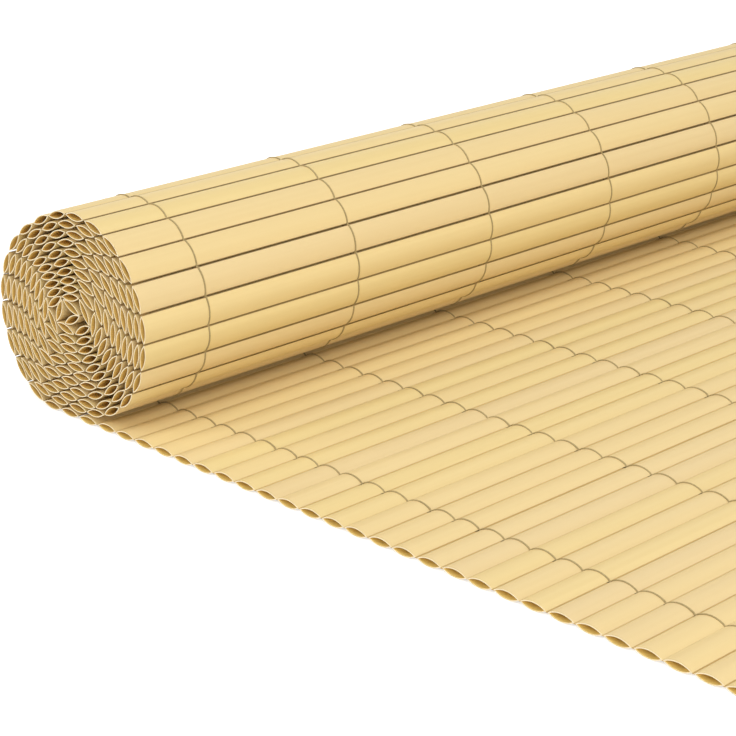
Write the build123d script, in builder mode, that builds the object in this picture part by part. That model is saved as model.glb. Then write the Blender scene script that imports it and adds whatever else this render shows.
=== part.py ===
from build123d import *
import math
import os

# PVC privacy screen: hollow slats bound side by side into a mat, part of it wound in a roll
# and the rest laid out flat on the floor. Millimetres, Y along the slats, Z up.

# Slats
SLAT_LENGTH = 800.0
SLAT_WIDTH = 15.4
SLAT_THICKNESS = 4.5
SLAT_WALL = 0.5
FACE_FLATS = 4
FLAT_SLATS = 36

# Clearances
BINDING_GAP = 0.7
LAYER_CLEARANCE = 0.5
TOUCH_CLEARANCE = 0.12

# Roll
ROLL_TURNS = 10
FOLD_DIRECTION = math.radians(28)
LEAVING_DIRECTION = math.radians(258)
CORE_ROOM = 4.75
UNDERSIDE_SHARE = 0.95

# Sizes that follow from the ones above
SLAT_PITCH = SLAT_WIDTH + BINDING_GAP
LAYER_PITCH = SLAT_THICKNESS + LAYER_CLEARANCE
FOLD_HALF = SLAT_PITCH / 2
FACE_RADIUS = (SLAT_WIDTH ** 2 / 4 + SLAT_THICKNESS ** 2 / 4) / SLAT_THICKNESS
FACE_OFFSET = FACE_RADIUS - SLAT_THICKNESS / 2
BORE_RADIUS = FACE_RADIUS - SLAT_WALL

# Search steps of the winding
TOUCH_POINTS = 12
TURN_STEP = math.radians(2)
FIRST_TURN = math.radians(-50)
LEAST_TURN = math.radians(-140)
MOST_TURN = math.radians(178)
HALVINGS = 9


def lens_outline(radius, flats):
    """Corners of a lens section: two facing arcs about the slat's face centres, drawn as flats."""
    tip = math.acos(FACE_OFFSET / radius)
    angles = [tip * (2 * step / flats - 1) for step in range(flats)]
    upper = [(radius * math.sin(a), radius * math.cos(a) - FACE_OFFSET) for a in angles]
    return upper + [(-u, -v) for u, v in upper]


class Slat:
    """One slat seen from the mat's end: it runs one pitch from a binding line along a heading."""

    def __init__(self, start, heading):
        self.heading = heading
        self.across = (math.cos(heading), math.sin(heading))
        self.middle = tuple(s + a * SLAT_PITCH / 2 for s, a in zip(start, self.across))
        self.end = tuple(s + a * SLAT_PITCH for s, a in zip(start, self.across))

    def outline(self):
        """Points around the lens section."""
        for u, v in lens_outline(FACE_RADIUS, TOUCH_POINTS):
            yield (
                self.middle[0] + u * self.across[0] - v * self.across[1],
                self.middle[1] + u * self.across[1] + v * self.across[0],
            )

    def holds(self, point):
        """Whether a point is inside the lens section grown by the touching clearance."""
        x = point[0] - self.middle[0]
        z = point[1] - self.middle[1]
        u = x * self.across[0] + z * self.across[1]
        v = z * self.across[0] - x * self.across[1]
        return math.hypot(u, abs(v) + FACE_OFFSET) < FACE_RADIUS + TOUCH_CLEARANCE

    def meets(self, other):
        """Whether two slats are closer than the touching clearance."""
        if math.dist(self.middle, other.middle) > SLAT_PITCH + TOUCH_CLEARANCE:
            return False
        if any(other.holds(point) for point in self.outline()):
            return True
        return any(self.holds(point) for point in other.outline())


def clear_of_roll(point, level):
    """Whether a binding line lies outside the roll's winding curve at a level.

    The curve is a round-ended loop about the folded middle, cut off flat underneath
    where the roll settles on the floor.
    """
    if point[1] < -UNDERSIDE_SHARE * level:
        return True
    along = point[0] * math.cos(FOLD_DIRECTION) + point[1] * math.sin(FOLD_DIRECTION)
    across = point[1] * math.cos(FOLD_DIRECTION) - point[0] * math.sin(FOLD_DIRECTION)
    return math.hypot(max(abs(along) - FOLD_HALF, 0.0), across) >= level


def swept_to(point, last, swept):
    """The angle swept about the roll's middle once the winding reaches a point."""
    turn = math.atan2(point[1], point[0]) - math.atan2(last[1], last[0])
    slack = TURN_STEP * 17
    return swept + (turn + slack) % (2 * math.pi) - slack


def wind_roll():
    """Wind slats outwards from the folded middle until the mat leaves along the floor.

    Each slat turns inwards about the binding line before it until it meets the winding
    curve or a slat already wound.

    Returns:
        the slats in order, and the turn of the roll that each one belongs to
    """
    fold = (math.cos(FOLD_DIRECTION) * FOLD_HALF, math.sin(FOLD_DIRECTION) * FOLD_HALF)
    wound = [Slat((-fold[0], -fold[1]), FOLD_DIRECTION)]
    turns = [0]
    swept = FOLD_DIRECTION
    while swept < LEAVING_DIRECTION + 2 * math.pi * ROLL_TURNS:
        last = wound[-1]

        def blocked(turn):
            slat = Slat(last.end, last.heading + turn)
            reached = swept_to(slat.end, last.end, swept) - FOLD_DIRECTION
            if not clear_of_roll(slat.end, CORE_ROOM + LAYER_PITCH * reached / (2 * math.pi)):
                return True
            return any(slat.meets(other) for other in wound)

        turn = FIRST_TURN
        while blocked(turn) and turn > LEAST_TURN:
            turn -= TURN_STEP
        while turn + TURN_STEP < MOST_TURN and not blocked(turn + TURN_STEP):
            turn += TURN_STEP
        step = TURN_STEP
        for _ in range(HALVINGS):
            step /= 2
            if not blocked(turn + step):
                turn += step
        wound.append(Slat(last.end, last.heading + turn))
        swept = swept_to(wound[-1].end, last.end, swept)
        turns.append(int((swept - FOLD_DIRECTION) / (2 * math.pi)))
    return wound, turns


def lay_flat(wound):
    """Slats lying side by side on the floor, from the roll's last binding line outwards.

    The floor is level with that line, or lower where the roll hangs down over the mat.
    """
    start = wound[-1].end
    over = [slat for slat in wound if slat.end[0] > start[0]]
    room = SLAT_THICKNESS / 2 + TOUCH_CLEARANCE
    floor = min([start[1]] + [point[1] - room for slat in over for point in slat.outline()])
    laid = [Slat(start, math.asin((floor - start[1]) / SLAT_PITCH))]
    while len(laid) < FLAT_SLATS:
        laid.append(Slat(laid[-1].end, 0.0))
    return laid


roll_slats, roll_turns = wind_roll()
flat_slats = lay_flat(roll_slats)

# The part's origin: middle of the whole mat's footprint, on the floor
roll_left = min(point[0] for slat in roll_slats for point in slat.outline())
flat_right = flat_slats[-1].middle[0] + SLAT_WIDTH / 2
MIDDLE_X = (roll_left + flat_right) / 2
FLOOR_Z = flat_slats[-1].middle[1] - SLAT_THICKNESS / 2


def end_plane(slat):
    """The plane of a slat's near cut end, looking along the slat."""
    return Plane(
        origin=(slat.middle[0] - MIDDLE_X, -SLAT_LENGTH / 2, slat.middle[1] - FLOOR_Z),
        x_dir=(slat.across[0], 0, slat.across[1]),
        z_dir=(0, 1, 0),
    )


def make_slats(label, slats):
    """Build slats as one sub-part: thin-walled lens tubes, open at both ends."""
    with BuildPart() as tubes:
        with BuildSketch(*[end_plane(slat) for slat in slats]):
            with BuildLine():
                Polyline(*lens_outline(FACE_RADIUS, FACE_FLATS), close=True)
            make_face()
            with BuildLine():
                Polyline(*lens_outline(BORE_RADIUS, FACE_FLATS), close=True)
            make_face(mode=Mode.SUBTRACT)
        extrude(amount=SLAT_LENGTH)
    tubes.part.label = label
    export_step(tubes.part, f"parts/{label}.step")


os.makedirs("parts", exist_ok=True)
for number in range(max(roll_turns) + 1):
    make_slats(f"roll_turn_{number + 1:02d}", [s for s, t in zip(roll_slats, roll_turns) if t == number])
for number, slat in enumerate(flat_slats):
    make_slats(f"flat_slat_{number + 1:02d}", [slat])
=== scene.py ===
"""Looks of a PVC privacy screen: hollow slats bound with thread, part wound in a roll, part laid flat."""

from __future__ import annotations

import logging
import math
import random
from dataclasses import dataclass
from enum import Enum
from typing import Iterator, Sequence, Union

import bmesh
import bpy
from mathutils import Matrix, Quaternion, Vector


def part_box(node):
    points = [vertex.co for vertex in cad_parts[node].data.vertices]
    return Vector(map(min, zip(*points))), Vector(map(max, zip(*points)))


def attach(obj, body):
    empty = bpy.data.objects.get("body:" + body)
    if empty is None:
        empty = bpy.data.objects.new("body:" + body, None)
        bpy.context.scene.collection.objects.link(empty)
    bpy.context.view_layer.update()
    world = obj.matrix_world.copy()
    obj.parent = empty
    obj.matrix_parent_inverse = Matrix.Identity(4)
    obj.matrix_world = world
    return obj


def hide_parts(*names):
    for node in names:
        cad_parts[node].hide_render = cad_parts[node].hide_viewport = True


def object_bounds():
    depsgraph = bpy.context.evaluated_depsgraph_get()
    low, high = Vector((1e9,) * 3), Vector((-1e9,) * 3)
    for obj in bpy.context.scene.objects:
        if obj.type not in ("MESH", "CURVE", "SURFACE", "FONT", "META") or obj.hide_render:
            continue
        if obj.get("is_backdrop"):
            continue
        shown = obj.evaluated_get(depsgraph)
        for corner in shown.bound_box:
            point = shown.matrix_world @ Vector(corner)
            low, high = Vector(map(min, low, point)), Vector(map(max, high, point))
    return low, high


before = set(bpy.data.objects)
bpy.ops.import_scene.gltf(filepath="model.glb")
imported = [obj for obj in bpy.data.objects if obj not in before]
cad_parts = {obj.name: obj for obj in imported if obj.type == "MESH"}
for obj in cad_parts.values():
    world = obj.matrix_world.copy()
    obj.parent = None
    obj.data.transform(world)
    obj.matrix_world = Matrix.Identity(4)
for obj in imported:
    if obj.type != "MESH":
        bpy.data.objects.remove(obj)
CAD_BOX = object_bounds()

LOG = logging.getLogger("privacy_screen")
MM = 0.001
BODY = "root"
FLAT_PREFIX = "flat_slat"
ROLL_PREFIX = "roll_turn"
MIX_FIRST, MIX_SECOND, MIX_RESULT = 6, 7, 2

Triple = tuple[float, float, float]
Colour = Triple
Rgba = tuple[float, float, float, float]
Number = Union["Value", float]
Paint = Union[bpy.types.NodeSocket, Rgba]

WHITE: Rgba = (1.0, 1.0, 1.0, 1.0)
FACE_TONES: tuple[Colour, ...] = ((0.79, 0.615, 0.333), (0.815, 0.635, 0.316), (0.81, 0.642, 0.287))
# Bore colours from painted shade (0) to painted light (1); each bore's tone is picked by whether its slat
# lies flat or in the roll.
BORE_SHADE_TO_LIGHT_TONES: tuple[Colour, ...] = ((0.76, 0.52, 0.16), (0.86, 0.62, 0.20), (0.96, 0.74, 0.26))
CUT_COLOUR: Colour = (0.93, 0.79, 0.53)
THREAD_COLOUR: Colour = (0.52, 0.40, 0.19)


class Skin(Enum):
    """The surfaces of a slat, in the order of its material slots."""

    FACE = 0
    BORE = 1
    CUT = 2


class Side(Enum):
    """The side of a slat that a strand of thread lies on."""

    OVER = 1
    UNDER = -1

    def other(self) -> "Side":
        """The opposite side."""
        return Side(-self.value)


class Value:
    """A number on a shader socket. Arithmetic on it adds Math nodes."""

    def __init__(self, sheet: "ShaderSheet", socket: bpy.types.NodeSocket) -> None:
        """Wrap a socket.

        Args:
            sheet: the shader that the socket belongs to
            socket: an output that carries a number
        """
        self.sheet = sheet
        self.socket = socket

    def _math(self, operation: str, first: Number, second: Number) -> "Value":
        """Add a Math node.

        Args:
            operation: the node's operation
            first: left side
            second: right side

        Returns:
            the node's result
        """
        node = self.sheet.node("ShaderNodeMath", {"operation": operation}, {0: first, 1: second})
        return Value(self.sheet, node.outputs[0])

    def __add__(self, other: Number) -> "Value":
        """Sum."""
        return self._math("ADD", self, other)

    def __radd__(self, other: Number) -> "Value":
        """Sum with a plain number on the left."""
        return self._math("ADD", other, self)

    def __sub__(self, other: Number) -> "Value":
        """Difference."""
        return self._math("SUBTRACT", self, other)

    def __rsub__(self, other: Number) -> "Value":
        """Difference from a plain number."""
        return self._math("SUBTRACT", other, self)

    def __mul__(self, other: Number) -> "Value":
        """Product."""
        return self._math("MULTIPLY", self, other)

    def __rmul__(self, other: Number) -> "Value":
        """Product with a plain number on the left."""
        return self._math("MULTIPLY", other, self)

    def at_most(self, other: Number) -> "Value":
        """The lower of two numbers."""
        return self._math("MINIMUM", self, other)

    def at_least(self, other: Number) -> "Value":
        """The higher of two numbers."""
        return self._math("MAXIMUM", self, other)

    def over(self, other: Number) -> "Value":
        """1 where this number is the greater, 0 elsewhere."""
        return self._math("GREATER_THAN", self, other)


class ShaderSheet:
    """A material's or world's nodes, added one at a time."""

    def __init__(self, tree: bpy.types.NodeTree) -> None:
        """Empty a node tree for use.

        Args:
            tree: the tree to fill
        """
        self.tree = tree
        tree.nodes.clear()

    def node(self, kind: str, settings: dict | None = None, inputs: dict | None = None) -> bpy.types.Node:
        """Add a node.

        Args:
            kind: the node's type
            settings: properties, set first; "stops" gives a ramp's places and colours
            inputs: a value, socket or Value for each named or numbered input

        Returns:
            the new node
        """
        made = self.tree.nodes.new(kind)
        for name, setting in (settings or {}).items():
            if name == "stops":
                self._ramp(made.color_ramp, setting)
            else:
                setattr(made, name, setting)
        for name, value in (inputs or {}).items():
            source = value.socket if isinstance(value, Value) else value
            if isinstance(source, bpy.types.NodeSocket):
                self.tree.links.new(source, made.inputs[name])
            else:
                made.inputs[name].default_value = source
        return made

    def _ramp(self, ramp: bpy.types.ColorRamp, stops: Sequence[tuple[float, Colour]]) -> None:
        """Set a colour ramp's stops.

        Args:
            ramp: the ramp
            stops: place and colour of each stop, at least two
        """
        while len(ramp.elements) < len(stops):
            ramp.elements.new(0.5)
        for element, (place, colour) in zip(ramp.elements, stops):
            element.position = place
            element.color = (*colour, 1.0)

    def value(
        self, kind: str, output: str, settings: dict | None = None, inputs: dict | None = None
    ) -> Value:
        """Add a node and wrap one of its outputs.

        Args:
            kind: the node's type
            output: name of the output
            settings: as for node
            inputs: as for node

        Returns:
            the wrapped output
        """
        return Value(self, self.node(kind, settings, inputs).outputs[output])

    def noise(self, stretch: Triple, detail: float) -> Value:
        """Noise on Object coordinates.

        Args:
            stretch: cells per metre along X, Y and Z
            detail: octaves

        Returns:
            the noise, about 0.5 on average
        """
        place = self.node("ShaderNodeTexCoord").outputs["Object"]
        spread = self.node("ShaderNodeMapping", {}, {"Vector": place, "Scale": stretch}).outputs["Vector"]
        return self.value("ShaderNodeTexNoise", "Fac", {}, {"Vector": spread, "Scale": 1.0, "Detail": detail})

    def tinted(self, colour: Paint, share: Number, tint: Colour) -> bpy.types.NodeSocket:
        """Multiply a colour by a tint.

        Args:
            colour: the colour to change
            share: how much of the tint is used, 0 to 1
            tint: the tint

        Returns:
            the changed colour's socket
        """
        settings = {"data_type": "RGBA", "blend_type": "MULTIPLY"}
        inputs = {"Factor": share, MIX_FIRST: colour, MIX_SECOND: (*tint, 1.0)}
        return self.node("ShaderNodeMix", settings, inputs).outputs[MIX_RESULT]

    def bump(self, height: Value, depth: float, strength: float) -> bpy.types.NodeSocket:
        """Turn a height into a normal.

        Args:
            height: the height, 0 to 1
            depth: what a height of 1 stands for
            strength: how much of it shows

        Returns:
            the normal's socket
        """
        inputs = {"Strength": strength, "Distance": depth, "Height": height}
        return self.node("ShaderNodeBump", {}, inputs).outputs["Normal"]

    def surface(self, inputs: dict) -> None:
        """Add the Principled shader and the output.

        Args:
            inputs: values or links of the shader's sockets
        """
        shader = self.node("ShaderNodeBsdfPrincipled", {}, inputs)
        self.node("ShaderNodeOutputMaterial", {}, {"Surface": shader.outputs["BSDF"]})


def new_sheet(name: str) -> tuple[bpy.types.Material, ShaderSheet]:
    """Make an empty material.

    Args:
        name: the material's name

    Returns:
        the material and its sheet of nodes
    """
    material = bpy.data.materials.new(name)
    material.use_nodes = True
    return material, ShaderSheet(material.node_tree)


@dataclass(frozen=True)
class PvcFinish:
    """Satin extruded PVC: drawing lines along the slat, painted shade at the slat's tips that darkens the
    gaps between slats, and a tone of its own for each slat.
    """

    name: str
    tones: tuple[Colour, ...]
    roughness: float
    specular: float = 0.2
    streak_tint: Colour = (0.86, 0.80, 0.70)
    streak_share: float = 0.55
    streak_stretch: Triple = (260.0, 2.2, 260.0)
    line_stretch: Triple = (1500.0, 5.0, 1500.0)
    line_depth: float = 0.05 * MM
    line_strength: float = 0.25
    line_sheen: float = 0.12
    # Painted shade towards each slat's tips, darkening the gaps between slats.
    gap_painted_shade_tint: Colour = (0.20, 0.10, 0.015)
    gap_painted_shade_start: float = 0.92
    gap_painted_shade_share: float = 0.95

    def make(self) -> bpy.types.Material:
        """Build the material.

        Returns:
            the finished material
        """
        material, sheet = new_sheet(self.name)
        tone = sheet.value("ShaderNodeAttribute", "Fac", {"attribute_name": "tone"})
        stops = list(zip((0.0, 0.5, 1.0), self.tones))
        ramp = sheet.node("ShaderNodeValToRGB", {"stops": stops}, {"Fac": tone})
        streak = sheet.noise(self.streak_stretch, detail=3.0)
        lines = sheet.noise(self.line_stretch, detail=2.0)
        across = sheet.value("ShaderNodeAttribute", "Fac", {"attribute_name": "across"})
        # Painted shade: the colour darkens over the outer part of the way to each tip.
        edge = (across - self.gap_painted_shade_start).at_least(0.0) * (self.gap_painted_shade_share / (1.0 - self.gap_painted_shade_start))
        colour = sheet.tinted(ramp.outputs["Color"], streak * self.streak_share, self.streak_tint)
        colour = sheet.tinted(colour, edge, self.gap_painted_shade_tint)
        sheet.surface(
            {
                "Base Color": colour,
                "Roughness": self.roughness + (lines - 0.5) * self.line_sheen,
                "Normal": sheet.bump(lines, self.line_depth, self.line_strength),
                "Specular IOR Level": self.specular,
            }
        )
        return material


@dataclass(frozen=True)
class CutFinish:
    """The sawn end of a slat's wall: paler and duller than its faces."""

    name: str
    colour: Colour
    roughness: float = 0.62
    grain_tint: Colour = (0.84, 0.76, 0.66)
    grain_share: float = 0.4
    grain_stretch: Triple = (2600.0, 2600.0, 2600.0)
    grain_depth: float = 0.05 * MM
    grain_strength: float = 0.4

    def make(self) -> bpy.types.Material:
        """Build the material.

        Returns:
            the finished material
        """
        material, sheet = new_sheet(self.name)
        grain = sheet.noise(self.grain_stretch, detail=2.0)
        colour = sheet.tinted((*self.colour, 1.0), grain * self.grain_share, self.grain_tint)
        normal = sheet.bump(grain, self.grain_depth, self.grain_strength)
        sheet.surface({"Base Color": colour, "Roughness": self.roughness, "Normal": normal})
        return material


@dataclass(frozen=True)
class ThreadFinish:
    """Twisted polyester sewing cord."""

    name: str
    colour: Colour
    roughness: float = 0.7
    shade: Colour = (0.62, 0.58, 0.48)
    shade_share: float = 1.4
    ply_stretch: Triple = (1900.0, 900.0, 1900.0)
    ply_depth: float = 0.12 * MM
    ply_strength: float = 0.7

    def make(self) -> bpy.types.Material:
        """Build the material.

        Returns:
            the finished material
        """
        material, sheet = new_sheet(self.name)
        ply = sheet.noise(self.ply_stretch, detail=2.0)
        colour = sheet.tinted((*self.colour, 1.0), (ply * self.shade_share).at_most(1.0), self.shade)
        normal = sheet.bump(ply, self.ply_depth, self.ply_strength)
        sheet.surface({"Base Color": colour, "Roughness": self.roughness, "Normal": normal})
        return material


@dataclass
class SlatPlace:
    """Where one slat lies, seen from the mat's near end: its middle and the way across it, in X and Z."""

    node: str
    middle: Vector
    across: Vector

    @property
    def lies_flat(self) -> bool:
        """Whether the slat is in the flat run, and not in the roll."""
        return self.node.startswith(FLAT_PREFIX)

    @property
    def up(self) -> Vector:
        """The way out of the face that is on top where the mat lies flat."""
        return Vector((-self.across.z, 0.0, self.across.x))

    def turned(self) -> "SlatPlace":
        """The same slat, crossed the other way."""
        return SlatPlace(self.node, self.middle, -self.across)

    def matrix(self) -> Matrix:
        """The move that brings a slat from the origin to its place."""
        columns = Matrix((self.across, Vector((0.0, 1.0, 0.0)), self.up)).transposed()
        return Matrix.Translation(self.middle) @ columns.to_4x4()


@dataclass
class MatLayout:
    """The order and places of the mat's slats, read from the CAD solids."""

    pitch: float = 16.1 * MM
    match: float = 0.2 * MM
    weld: float = 0.001 * MM

    def read(self) -> list[SlatPlace]:
        """Find every slat and put them in the order in which the mat runs, from the roll's middle outwards.

        Returns:
            the slats, each crossed in the direction of the run
        """
        loose = [place for node in sorted(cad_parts) for place in self._slats_of(node)]
        here = max(loose, key=lambda place: place.middle.x)
        loose.remove(here)
        chain = [here]
        while loose:
            here = self._take(here.middle - here.across * self.pitch / 2, loose)
            chain.append(here)
        return chain[::-1]

    def _take(self, binding: Vector, loose: list[SlatPlace]) -> SlatPlace:
        """Take the slat that ends at a binding line.

        Args:
            binding: the line's place in X and Z
            loose: slats that have no place in the order yet

        Returns:
            the slat, crossed towards the line
        """
        for place in loose:
            reach = place.across * self.pitch / 2
            if (place.middle + reach - binding).length < self.match:
                loose.remove(place)
                return place
            if (place.middle - reach - binding).length < self.match:
                loose.remove(place)
                return place.turned()
        raise ValueError(f"{len(loose)} slats are not bound to the mat")

    def _slats_of(self, node: str) -> Iterator[SlatPlace]:
        """Split a CAD node into its slats.

        Args:
            node: the node's name

        Yields:
            each slat's place
        """
        solids = bmesh.new()
        solids.from_mesh(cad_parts[node].data)
        bmesh.ops.remove_doubles(solids, verts=solids.verts, dist=self.weld)
        unseen = set(solids.verts)
        while unseen:
            island = {unseen.pop()}
            front = list(island)
            while front:
                corner = front.pop()
                for edge in corner.link_edges:
                    other = edge.other_vert(corner)
                    if other in unseen:
                        unseen.remove(other)
                        island.add(other)
                        front.append(other)
            yield self._place(node, [Vector((v.co.x, 0.0, v.co.z)) for v in island])
        solids.free()

    def _place(self, node: str, corners: list[Vector]) -> SlatPlace:
        """Fit a slat to its corners: its tips are the two that lie furthest apart.

        Args:
            node: the node's name
            corners: the solid's corners in X and Z

        Returns:
            the slat's place
        """
        centre = sum(corners, Vector()) / len(corners)
        tip = max(corners, key=lambda corner: (corner - centre).length)
        far = max(corners, key=lambda corner: (corner - tip).length)
        across = (tip - far).normalized()
        if across.x < 0:
            across.negate()
        return SlatPlace(node, (tip + far) / 2, across)


@dataclass
class SlatWork:
    """The slats: thin-walled lens tubes, sawn square at both ends."""

    width: float = 15.6 * MM
    thickness: float = 4.5 * MM
    wall: float = 0.5 * MM
    length: float = 800.0 * MM
    arc_steps: int = 8
    flat_rock: float = math.radians(1.3)
    roll_rock: float = math.radians(0.6)
    shift: float = 0.22 * MM
    slide: float = 0.35 * MM
    # Strength of the painted shade at the slat's tips: stronger on the roll, where the gaps look darker.
    flat_gap_painted_shade: float = 0.935
    roll_gap_painted_shade: float = 1.0
    # Bore tones: painted light in the flat run's bores, painted shade in the roll's bores.
    flat_bore_painted_light: float = 0.95
    roll_bore_painted_shade: float = 0.3
    tone_middle: float = 0.5
    tone_spread: float = 0.22
    weld: float = 0.01 * MM
    crease: float = math.radians(35)
    seed: int = 11

    def __post_init__(self) -> None:
        """Work out the faces' arcs, seed the random draws and list the finishes in slot order."""
        self.face_radius = (self.width**2 + self.thickness**2) / (4 * self.thickness)
        self.face_offset = self.face_radius - self.thickness / 2
        self.draw = random.Random(self.seed)
        self.finishes = (
            PvcFinish("slat_face_pvc", FACE_TONES, roughness=0.44),
            PvcFinish("slat_bore_pvc", BORE_SHADE_TO_LIGHT_TONES, roughness=0.50),
            CutFinish("slat_cut_pvc", CUT_COLOUR),
        )

    def build(self, chain: list[SlatPlace]) -> list[bpy.types.Object]:
        """Make one piece for each of the roll's turns and one for the flat run.

        Args:
            chain: the slats in order

        Returns:
            the pieces
        """
        groups: dict[str, list[SlatPlace]] = {}
        for place in chain:
            name = "flat_run" if place.lies_flat else place.node.replace("roll", "wound")
            groups.setdefault(name, []).append(place)
        tube = self._tube()
        materials = [finish.make() for finish in self.finishes]
        return [self._piece(name, places, tube, materials) for name, places in groups.items()]

    def _arc_loop(self, mesh: bmesh.types.BMesh, radius: float) -> list[bmesh.types.BMEdge]:
        """Spin a closed lens outline at the near end.

        Args:
            mesh: where it is made
            radius: radius of both arcs, about the faces' centres

        Returns:
            the outline's edges
        """
        tip_angle = math.acos(self.face_offset / radius)
        tip = radius * math.sin(tip_angle)
        near = -self.length / 2
        before = set(mesh.verts)
        for sign in (-1, 1):
            start = mesh.verts.new((sign * tip, near, 0.0))
            bmesh.ops.spin(
                mesh,
                geom=[start],
                cent=(0.0, near, sign * self.face_offset),
                axis=(0.0, 1.0, 0.0),
                angle=2 * tip_angle,
                steps=self.arc_steps,
                use_duplicate=False,
            )
        made = [vert for vert in mesh.verts if vert not in before]
        bmesh.ops.remove_doubles(mesh, verts=made, dist=self.weld)
        return [edge for edge in mesh.edges if not any(vert in before for vert in edge.verts)]

    def _tube(self) -> bpy.types.Mesh:
        """Make one slat at the origin, along Y.

        Returns:
            its mesh, with a material slot for each surface
        """
        mesh = bmesh.new()
        outer = self._arc_loop(mesh, self.face_radius)
        inner = self._arc_loop(mesh, self.face_radius - self.wall)
        ring = bmesh.ops.bridge_loops(mesh, edges=outer + inner)["faces"]
        drawn = bmesh.ops.extrude_face_region(mesh, geom=ring)["geom"]
        ends = [vert for vert in drawn if isinstance(vert, bmesh.types.BMVert)]
        bmesh.ops.translate(mesh, verts=ends, vec=(0.0, self.length, 0.0))
        bmesh.ops.recalc_face_normals(mesh, faces=mesh.faces)
        middle_of_wall = self.face_radius - self.wall / 2
        for face in mesh.faces:
            centre = face.calc_center_median()
            reach = math.hypot(centre.x, abs(centre.z) + self.face_offset)
            sawn = abs(face.normal.y) > 0.5
            if sawn:
                face.material_index = Skin.CUT.value
            elif reach > middle_of_wall:
                face.material_index = Skin.FACE.value
            else:
                face.material_index = Skin.BORE.value
            face.smooth = not sawn
        tube = bpy.data.meshes.new("slat_tube")
        mesh.to_mesh(tube)
        mesh.free()
        return tube

    def _piece(
        self, name: str, places: list[SlatPlace], tube: bpy.types.Mesh, materials: list[bpy.types.Material]
    ) -> bpy.types.Object:
        """Set slats in their places as one piece.

        Args:
            name: the piece's name
            places: its slats
            tube: the mesh of one slat
            materials: the slats' finishes, in slot order

        Returns:
            the piece
        """
        mesh = bmesh.new()
        mesh.faces.layers.float.new("tone")
        mesh.verts.layers.float.new("across")
        for place in places:
            self._add_slat(mesh, place, tube)
        data = bpy.data.meshes.new(name)
        mesh.to_mesh(data)
        mesh.free()
        data.set_sharp_from_angle(angle=self.crease)
        for material in materials:
            data.materials.append(material)
        piece = bpy.data.objects.new(name, data)
        bpy.context.scene.collection.objects.link(piece)
        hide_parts(*sorted({place.node for place in places}))
        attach(piece, BODY)
        return piece

    def _add_slat(self, mesh: bmesh.types.BMesh, place: SlatPlace, tube: bpy.types.Mesh) -> None:
        """Add one slat at its place, a little out of true, with the numbers that its finishes read.

        Args:
            mesh: the piece's mesh
            place: the slat's place
            tube: the mesh of one slat
        """
        first_vert, first_face = len(mesh.verts), len(mesh.faces)
        mesh.from_mesh(tube)
        mesh.verts.ensure_lookup_table()
        mesh.faces.ensure_lookup_table()
        verts, faces = mesh.verts[first_vert:], mesh.faces[first_face:]
        across = mesh.verts.layers.float["across"]
        edge = self.flat_gap_painted_shade if place.lies_flat else self.roll_gap_painted_shade
        # The across number grows towards the tips and carries the painted shade's strength, which is weaker
        # in the flat run.
        for vert in verts:
            vert[across] = edge * abs(vert.co.x) * 2 / self.width
        rock = self.flat_rock if place.lies_flat else self.roll_rock
        tilt = Matrix.Rotation(self.draw.uniform(-rock, rock), 4, "Y")
        aside = self.draw.uniform(-self.shift, self.shift)
        slip = Matrix.Translation((aside, self.draw.uniform(-self.slide, 0.0), 0.0))
        bmesh.ops.transform(mesh, matrix=place.matrix() @ tilt @ slip, verts=verts)
        tone = mesh.faces.layers.float["tone"]
        shade = min(max(self.draw.gauss(self.tone_middle, self.tone_spread), 0.0), 1.0)
        # Bores get a fixed tone, not the slat's own: painted light in the flat run, painted shade in the
        # roll, for light through the thin walls.
        bore = self.flat_bore_painted_light if place.lies_flat else self.roll_bore_painted_shade
        for face in faces:
            face[tone] = bore if face.material_index == Skin.BORE.value else shade


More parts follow.
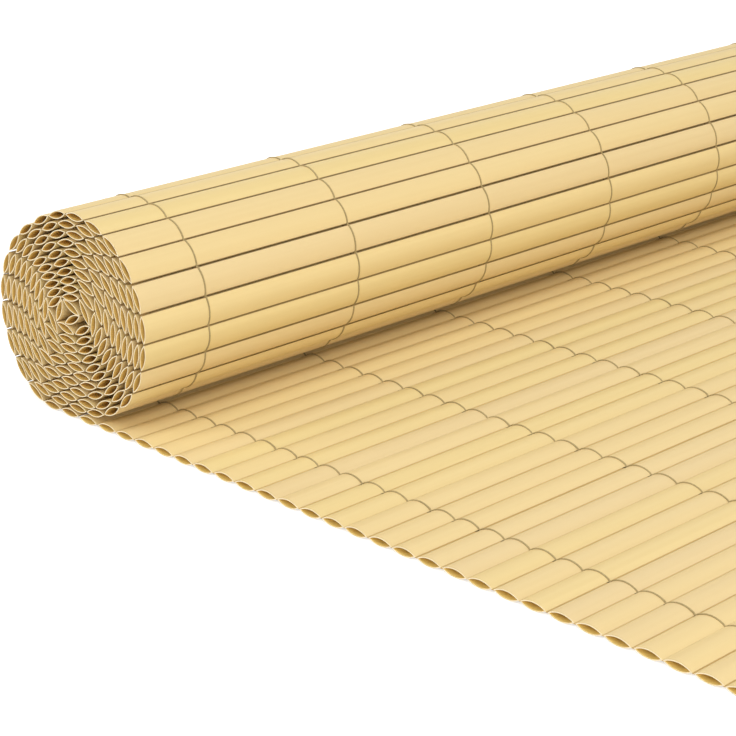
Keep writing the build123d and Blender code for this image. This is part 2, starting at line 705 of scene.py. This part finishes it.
@dataclass
class BindingThreads:
    """Lines of twined thread: two strands that swap sides between every pair of slats."""

    first_line: float = 43.2 * MM
    line_spacing: float = 109.5 * MM
    lines: int = 7
    half_thickness: float = 0.32 * MM
    flatness: float = 1.65
    sink: float = 0.08 * MM
    swap: float = 0.42 * MM
    sway_share: float = 0.4
    stations: tuple[float, ...] = (-0.43, -0.31, -0.16, 0.0, 0.16, 0.31, 0.43)

    def build(self, chain: list[SlatPlace], slats: SlatWork, pitch: float) -> list[bpy.types.Object]:
        """Make one piece for each line.

        Args:
            chain: the slats in order
            slats: their sizes
            pitch: from one binding to the next

        Returns:
            the pieces
        """
        material = ThreadFinish("binding_thread_cord", THREAD_COLOUR).make()
        pieces = []
        for number in range(self.lines):
            line_y = -slats.length / 2 + self.first_line + number * self.line_spacing
            strands = [list(self._strand(chain, slats, pitch, side)) for side in Side]
            pieces.append(self._piece(f"thread_line_{number + 1}", strands, line_y, material))
        return pieces

    def _strand(self, chain: list[SlatPlace], slats: SlatWork, pitch: float, side: Side) -> Iterator[Vector]:
        """Follow one strand along the mat, about a line at Y zero.

        Args:
            chain: the slats in order
            slats: their sizes
            pitch: from one binding to the next
            side: the side of the first slat that it lies on

        Yields:
            the strand's points
        """
        lift = slats.face_radius + self.half_thickness - self.sink
        for place in chain:
            start = place.middle - place.across * pitch / 2
            yield start + Vector((0.0, side.value * self.swap, 0.0))
            for station in self.stations:
                u = station * slats.width
                v = math.sqrt(lift**2 - u**2) - slats.face_offset
                sway = -2 * station * side.value * self.swap
                aside = Vector((0.0, sway * self.sway_share, 0.0))
                yield place.middle + place.across * u + place.up * v * side.value + aside
            side = side.other()
        last = chain[-1]
        yield last.middle + last.across * pitch / 2

    def _piece(
        self, name: str, strands: list[list[Vector]], line_y: float, material: bpy.types.Material
    ) -> bpy.types.Object:
        """Make a line's strands as flattened tubes.

        Args:
            name: the piece's name
            strands: the points of each strand
            line_y: the line's place along the slats
            material: the thread's finish

        Returns:
            the piece
        """
        path = bpy.data.curves.new(name + "_path", "CURVE")
        path.dimensions = "3D"
        path.bevel_depth = self.half_thickness
        path.bevel_resolution = 1
        path.use_fill_caps = True
        for points in strands:
            spline = path.splines.new("POLY")
            spline.points.add(len(points) - 1)
            for knot, point in zip(spline.points, points):
                knot.co = (point.x, point.y / self.flatness, point.z, 1.0)
        carrier = bpy.data.objects.new(name + "_path", path)
        bpy.context.scene.collection.objects.link(carrier)
        shaped = carrier.evaluated_get(bpy.context.evaluated_depsgraph_get())
        data = bpy.data.meshes.new_from_object(shaped)
        bpy.data.objects.remove(carrier)
        bpy.data.curves.remove(path)
        data.name = name
        flatten = Matrix.Diagonal((1.0, self.flatness, 1.0, 1.0))
        data.transform(Matrix.Translation((0.0, line_y, 0.0)) @ flatten)
        data.shade_smooth()
        data.materials.clear()
        data.materials.append(material)
        piece = bpy.data.objects.new(name, data)
        bpy.context.scene.collection.objects.link(piece)
        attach(piece, BODY)
        return piece


@dataclass(frozen=True)
class Softbox:
    """A square lamp: where it hangs, what it points at, its side in metres and its power in watts."""

    name: str
    place: Triple
    target: Triple
    size: float
    power: float

    def hang(self) -> None:
        """Put the lamp in the scene."""
        data = bpy.data.lights.new(self.name, "AREA")
        data.shape = "SQUARE"
        data.size = self.size
        data.energy = self.power
        lamp = bpy.data.objects.new(self.name, data)
        aim = (Vector(self.target) - Vector(self.place)).to_track_quat("-Z", "Y")
        lamp.matrix_world = Matrix.Translation(self.place) @ aim.to_matrix().to_4x4()
        bpy.context.scene.collection.objects.link(lamp)


@dataclass
class Studio:
    """Pale floor, soft light and the camera of the photograph."""

    floor_size: float = 5.0
    floor_drop: float = 0.3 * MM
    floor_grey: Rgba = (0.82, 0.82, 0.82, 1.0)
    floor_glow: float = 0.6
    edge_inset: float = 3.0 * MM
    # Under the flat run: painted light, a warm tint on the floor's paint and a warm painted glow, for light
    # that the thin slats let through.
    under_mat_painted_light_tint: Colour = (0.62, 0.42, 0.17)
    under_mat_painted_glow_tint: Colour = (0.78, 0.53, 0.20)
    sky: float = 0.28
    lamps: tuple[Softbox, ...] = (
        Softbox("overhead_softbox", (0.9, -0.3, 2.4), (0.0, 0.0, 0.0), 2.6, 45.0),
        Softbox("side_softbox", (2.3, -1.3, 0.9), (-0.2, 0.0, 0.0), 2.0, 33.0),
        Softbox("front_softbox", (-1.7, -2.4, 1.5), (-0.2, 0.0, 0.0), 2.0, 42.0),
    )
    focal_length: float = 106.66
    sensor: float = 36.0
    clip_start: float = 50.0 * MM
    azimuth: float = math.radians(46.11)
    elevation: float = math.radians(20.03)
    bank: float = math.radians(-0.72)
    from_roll: Triple = (907.3 * MM, -652.6 * MM, 431.0 * MM)

    def build(self, roll_middle_x: float, near_y: float) -> None:
        """Set up the stage.

        Args:
            roll_middle_x: the roll's middle along X
            near_y: where the near cut ends are along Y
        """
        self._floor(roll_middle_x)
        self._world()
        for lamp in self.lamps:
            lamp.hang()
        self._camera(roll_middle_x, near_y)

    def _floor(self, roll_middle_x: float) -> None:
        """Lay the floor: white to the camera, with the mat's shadow.

        Under the flat run its paint is tinted warm and it has a warm painted glow: painted light for the
        light that thin slats let through.

        Args:
            roll_middle_x: the roll's middle along X
        """
        mesh = bmesh.new()
        bmesh.ops.create_grid(mesh, x_segments=1, y_segments=1, size=self.floor_size / 2)
        bmesh.ops.translate(mesh, verts=mesh.verts, vec=(0.0, 0.0, -self.floor_drop))
        data = bpy.data.meshes.new("studio_floor")
        mesh.to_mesh(data)
        mesh.free()
        material, sheet = new_sheet("studio_floor_white")
        seen = self._seen_directly(sheet)
        covered = self._under_mat(sheet, roll_middle_x)
        # Painted light under the flat run: warm floor paint and a warm glow seen through the gaps.
        colour = sheet.tinted(self.floor_grey, covered, self.under_mat_painted_light_tint)
        paint = sheet.node("ShaderNodeBsdfDiffuse", {}, {"Color": colour})
        shine = sheet.tinted(WHITE, covered, self.under_mat_painted_glow_tint)
        glow = sheet.node("ShaderNodeEmission", {}, {"Color": shine, "Strength": seen * self.floor_glow})
        both = sheet.node("ShaderNodeAddShader", {}, {0: paint.outputs[0], 1: glow.outputs[0]})
        sheet.node("ShaderNodeOutputMaterial", {}, {"Surface": both.outputs[0]})
        data.materials.append(material)
        floor = bpy.data.objects.new("studio_floor", data)
        bpy.context.scene.collection.objects.link(floor)
        floor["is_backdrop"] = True

    def _under_mat(self, sheet: ShaderSheet, roll_middle_x: float) -> Value:
        """1 under the flat run, 0 on the open floor.

        Args:
            sheet: where the nodes go
            roll_middle_x: the roll's middle along X

        Returns:
            the switch
        """
        place = sheet.node("ShaderNodeTexCoord").outputs["Object"]
        axes = sheet.node("ShaderNodeSeparateXYZ", {}, {"Vector": place})
        x, y = (Value(sheet, axes.outputs[name]) for name in "XY")
        low, high = CAD_BOX
        along = x.over(roll_middle_x) * (1.0 - x.over(high.x - self.edge_inset))
        return along * y.over(low.y + self.edge_inset) * (1.0 - y.over(high.y - self.edge_inset))

    def _seen_directly(self, sheet: ShaderSheet) -> Value:
        """1 for rays from the camera, and through gloss and glass; 0 for light that bounces.

        Args:
            sheet: where the nodes go

        Returns:
            the switch
        """
        rays = sheet.node("ShaderNodeLightPath")
        camera, glossy, through = (
            Value(sheet, rays.outputs[name])
            for name in ("Is Camera Ray", "Is Glossy Ray", "Is Transmission Ray")
        )
        return (camera + glossy + through).at_most(1.0)

    def _world(self) -> None:
        """Even sky light, white where the camera sees it."""
        world = bpy.data.worlds.new("studio_world")
        world.use_nodes = True
        bpy.context.scene.world = world
        sheet = ShaderSheet(world.node_tree)
        seen = self._seen_directly(sheet)
        strength = self.sky + seen * (1.0 - self.sky)
        sky = sheet.node("ShaderNodeBackground", {}, {"Color": WHITE, "Strength": strength})
        sheet.node("ShaderNodeOutputWorld", {}, {"Surface": sky.outputs[0]})

    def _camera(self, roll_middle_x: float, near_y: float) -> None:
        """Place the camera as the photograph's.

        Args:
            roll_middle_x: the roll's middle along X
            near_y: where the near cut ends are along Y
        """
        data = bpy.data.cameras.new("photo_camera")
        data.lens = self.focal_length
        data.sensor_width = self.sensor
        data.clip_start = self.clip_start
        camera = bpy.data.objects.new("photo_camera", data)
        level = math.cos(self.elevation)
        sideways, forward = -math.sin(self.azimuth), math.cos(self.azimuth)
        ahead = Vector((sideways * level, forward * level, -math.sin(self.elevation)))
        turn = ahead.to_track_quat("-Z", "Y") @ Quaternion((0.0, 0.0, 1.0), self.bank)
        place = Vector((roll_middle_x, near_y, 0.0)) + Vector(self.from_roll)
        camera.matrix_world = Matrix.Translation(place) @ turn.to_matrix().to_4x4()
        bpy.context.scene.collection.objects.link(camera)
        bpy.context.scene.camera = camera


def roll_middle() -> float:
    """The roll's middle along X, from its CAD nodes."""
    boxes = [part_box(node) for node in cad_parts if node.startswith(ROLL_PREFIX)]
    return (min(low.x for low, _ in boxes) + max(high.x for _, high in boxes)) / 2


def main() -> None:
    logging.basicConfig(level=logging.INFO, format="%(message)s")
    bpy.context.scene.view_settings.view_transform = "Standard"
    layout = MatLayout()
    chain = layout.read()
    slats = SlatWork()
    pieces = slats.build(chain)
    pieces += BindingThreads().build(chain, slats, layout.pitch)
    Studio().build(roll_middle(), CAD_BOX[0].y)
    for piece in pieces:
        LOG.info("%s: %d faces", piece.name, len(piece.data.polygons))
    boxes = {"cad": CAD_BOX, "visual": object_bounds()}
    {name: [list(corner) for corner in box] for name, box in boxes.items()}


if __name__ == "__main__":
    main()
